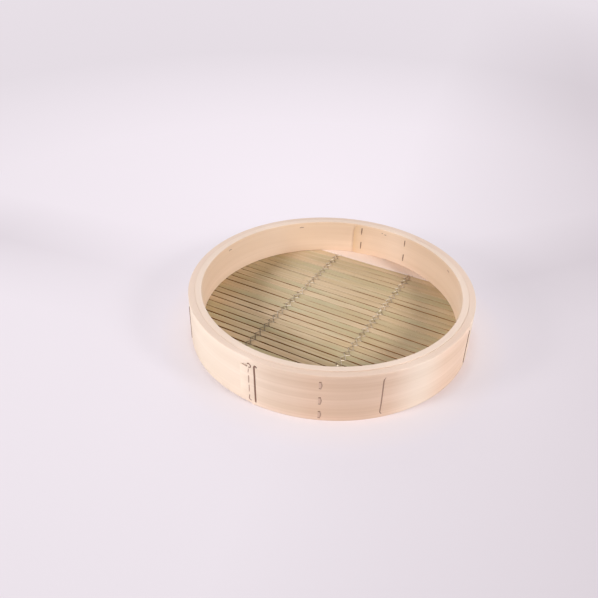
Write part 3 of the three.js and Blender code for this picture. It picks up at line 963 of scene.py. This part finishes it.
def add_long_stitch(number, hooked, dotted, slim, short):
    """An upright strip outside, hooked over or tucked in at the top, with a bar inside at each end."""
    node = f"long_stitch_{number}"
    low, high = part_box(node)
    foot, top = low.z, high.z
    middle = (foot + top) / 2
    head = SHORT_TOP if short else top
    width = SLIM_WIDTH if slim else BROAD_WIDTH if short else BARK_WIDTH
    azimuth = middle_azimuth(node)
    lean = random.uniform(-STITCH_LEAN, STITCH_LEAN)
    outside = Strips(OUTER_FACE, 1, azimuth)
    if hooked:
        hook = [(0.0025, top - 0.0017), (0.0013, top - 0.0003), (0, top - 0.0002),
                (-0.001, top - 0.0025), (-0.001, top - 0.0053)]
        shank = [(-0.0005, middle + 0.009), (-0.0003, middle - 0.005), (0.0004, foot + 0.0002)]
        outside.add(hook + shank, BARK_WIDTH, taper=(0.7, 0.8), proud=LONG_PROUD)
    else:
        outside.add([(0.0016, head - 0.0002), (0.0001, head - 0.0035), (-0.0003, head - 0.008),
                     (lean - 0.0004, middle + 0.006), (lean - 0.0007, middle - 0.013),
                     (-0.001, foot + 0.0075), (-0.0009, foot + 0.0032), (0.0008, foot + 0.0006)],
                    width, taper=(0.35, 0.75),
                    pale=0.2 if slim else 0, proud=BARK_PROUD if slim else LONG_PROUD)
    inside = Strips(INNER_FACE, -1, azimuth)
    if dotted:
        inside.add([(0.0002, top - 0.0004), (0.0026, top - 0.0001)], pale=0.4)
        inside.add([(0.0064, top + 0.0012), (0.0074, top + 0.0013)], pale=0.4)
    else:
        inside.add([(0.0012, top - 0.0004), (0.004, top), (0.0068, top - 0.0004)], pale=0.4)
    inside.add([(-0.0028, foot + 0.0005), (0, foot + 0.0008), (0.0028, foot + 0.0005)], pale=0.2)
    outside.join(inside)
    outside.finish(f"bark_long_{number}", node)


long_stitch_count = sum(node.startswith("long_stitch_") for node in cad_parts)
for number in range(1, long_stitch_count + 1):
    add_long_stitch(number, hooked=number in HOOKED_STITCHES, dotted=number in DOTTED_STITCHES,
                    slim=number in SLIM_STITCHES, short=number in SHORT_STITCHES)

# The outer lap's stitch at its tip: a loose end, a looped top, three dashes and a curled foot
strips = Strips(OUTER_FACE, 1, OUTER_LAP[0] + STITCH_INSET)
strips.add([(-0.0095, 0.062), (-0.0066, 0.0619), (-0.0038, 0.0613)], taper=(0.5, 0.8), pale=0.65)
strips.add([(-0.0023, 0.066), (-0.0008, 0.067), (0.0008, 0.0667), (0.0026, 0.0648), (0.0024, 0.0626),
            (0.001, 0.0614), (-0.0003, 0.0612)])
strips.add([(-0.0009, 0.0578), (-0.0013, 0.055), (-0.0016, 0.0526)], pale=0.65)
strips.add([(-0.001, 0.0466), (-0.0008, 0.041), (-0.001, 0.0353)], pale=0.5)
strips.add([(-0.0005, 0.0305), (-0.0003, 0.0255), (-0.0004, 0.0205)], pale=0.55)
strips.add([(0.0001, 0.0142), (-0.0006, 0.0087), (0.0004, 0.0066), (0.0024, 0.0061)], pale=0.3)
strips.finish("bark_outer_tip", "outer_lap_stitch_tip")

# Its stitch at the root: three worn, broad loops
strips = Strips(OUTER_FACE, 1, OUTER_LAP[1] - STITCH_INSET)
for low, high in [(0.0046, 0.0158), (0.0284, 0.0392), (0.0542, 0.0648)]:
    strips.add([(0.0004, high), (0.001, (low + high) / 2), (0.0004, low)],
               LOOP_WIDTH, taper=(0.7, 0.7), pale=0.8, hole=0.85, shade=0.6)
strips.finish("bark_outer_root", "outer_lap_stitch_root")


def add_dashes(name, node, azimuth, levels):
    """A running stitch on the inside: upright dashes one above the other."""
    strips = Strips(INNER_FACE, -1, azimuth)
    for low, high in levels:
        lean = random.uniform(-DASH_LEAN, DASH_LEAN)
        strips.add([(lean, high), (0, (low + high) / 2), (-lean, low)],
                   INNER_DASH_WIDTH, taper=(0.9, 0.5), pale=0.15)
    strips.finish(name, node)


add_dashes("bark_inner_tip", "inner_lap_stitch_tip", UPPER_LAP[1] - STITCH_INSET,
           levels=[(0.0298, 0.0422), (0.0578, 0.069)])
add_dashes("bark_inner_root", "inner_lap_stitch_root", UPPER_LAP[0] + STITCH_INSET,
           levels=[(0.0298, 0.042), (0.0582, 0.0685)])
add_dashes("bark_lower", "lower_lap_stitch", LOWER_LAP[1] - STITCH_INSET, levels=[(0.003, 0.012)])


# Stage, light and camera

STAGE_RADIUS = 6.0
STAGE_BEND = 2.0
STAGE_BEND_STEPS = 12
STAGE_SIDES = 96
LAMP_DISTANCE = 2.2
ROOM_LIGHT = 0.02
ROOM_SHOWN = 0.6
CAMERA_DISTANCE = 1.0078
CAMERA_HEIGHT_ANGLE = math.radians(36.51)
CAMERA_PITCH = math.radians(34.47)
CAMERA_YAW = math.radians(-3.36)
CAMERA_ROLL = math.radians(1.20)
CAMERA_SENSOR = 36.0
IMAGE_WIDTH = 598  # pixels
FOCAL_PIXELS = 650
CAMERA_FOCAL = FOCAL_PIXELS / IMAGE_WIDTH * CAMERA_SENSOR


def add_stage():
    """A round floor that bends up into a backdrop and is open at the top."""
    rise = np.linspace(0, np.pi / 2, STAGE_BEND_STEPS)
    profile = np.column_stack([
        STAGE_RADIUS + STAGE_BEND * np.sin(rise), STAGE_BEND * (1 - np.cos(rise))])
    turn = np.linspace(0, 2 * np.pi, STAGE_SIDES, endpoint=False)
    rings = np.array([
        np.column_stack([radius * np.cos(turn), radius * np.sin(turn), np.full(STAGE_SIDES, height)])
        for radius, height in profile])
    vertices, (*open_faces, _) = loft(rings)
    mesh = bpy.data.meshes.new("studio_floor")
    mesh.from_pydata([tuple(vertex) for vertex in vertices], [], open_faces)
    floor = bpy.data.objects.new("studio_floor", mesh)
    bpy.context.scene.collection.objects.link(floor)
    mesh.materials.append(studio_floor_look())


def add_lamp(name, azimuth, height_angle, size, power):
    """A square soft lamp that faces the middle of the basket from an azimuth and a height."""
    lamp = bpy.data.lights.new(name, "AREA")
    lamp.shape = "SQUARE"
    lamp.size = size
    lamp.energy = power
    holder = bpy.data.objects.new(name, lamp)
    turn, rise = math.radians(azimuth), math.radians(height_angle)
    holder.location = LAMP_DISTANCE * Vector((
        math.cos(rise) * math.cos(turn), math.cos(rise) * math.sin(turn), math.sin(rise)))
    holder.rotation_euler = (-holder.location).to_track_quat("-Z", "Y").to_euler()
    bpy.context.scene.collection.objects.link(holder)


def add_room():
    """A white room that shows in reflections and sheds little light."""
    world = bpy.data.worlds.new("studio")
    bpy.context.scene.world = world
    world.use_nodes = True
    tree = world.node_tree
    strength = tree.nodes.new("ShaderNodeMapRange")
    tree.links.new(direct_rays(tree), strength.inputs["Value"])
    strength.inputs["To Min"].default_value = ROOM_LIGHT
    strength.inputs["To Max"].default_value = ROOM_SHOWN
    background = tree.nodes["Background"]
    background.inputs["Color"].default_value = (1, 1, 1, 1)
    tree.links.new(strength.outputs["Result"], background.inputs["Strength"])


def add_camera():
    """The camera in front of the basket, turned by yaw, pitch and roll."""
    forward = Vector((
        math.sin(CAMERA_YAW) * math.cos(CAMERA_PITCH),
        math.cos(CAMERA_YAW) * math.cos(CAMERA_PITCH),
        -math.sin(CAMERA_PITCH)))
    level = Vector((math.cos(CAMERA_YAW), -math.sin(CAMERA_YAW), 0))
    upright = level.cross(forward)
    right = math.cos(CAMERA_ROLL) * level + math.sin(CAMERA_ROLL) * upright
    up = math.cos(CAMERA_ROLL) * upright - math.sin(CAMERA_ROLL) * level
    lens = bpy.data.cameras.new("camera")
    lens.sensor_width = CAMERA_SENSOR
    lens.lens = CAMERA_FOCAL
    holder = bpy.data.objects.new("camera", lens)
    turn = Matrix((right, up, -forward)).transposed().to_4x4()
    place = CAMERA_DISTANCE * Vector((
        0, -math.cos(CAMERA_HEIGHT_ANGLE), math.sin(CAMERA_HEIGHT_ANGLE)))
    holder.matrix_world = Matrix.Translation(place) @ turn
    bpy.context.scene.collection.objects.link(holder)
    bpy.context.scene.camera = holder


add_stage()
add_lamp("left", azimuth=-150, height_angle=25, size=0.45, power=37)
add_lamp("right", azimuth=-30, height_angle=33, size=0.45, power=29)
add_lamp("right_fill", azimuth=-5, height_angle=18, size=1.2, power=11)
add_lamp("rear", azimuth=95, height_angle=36, size=1.2, power=15)
add_room()
add_camera()
bpy.context.scene.view_settings.view_transform = "Standard"
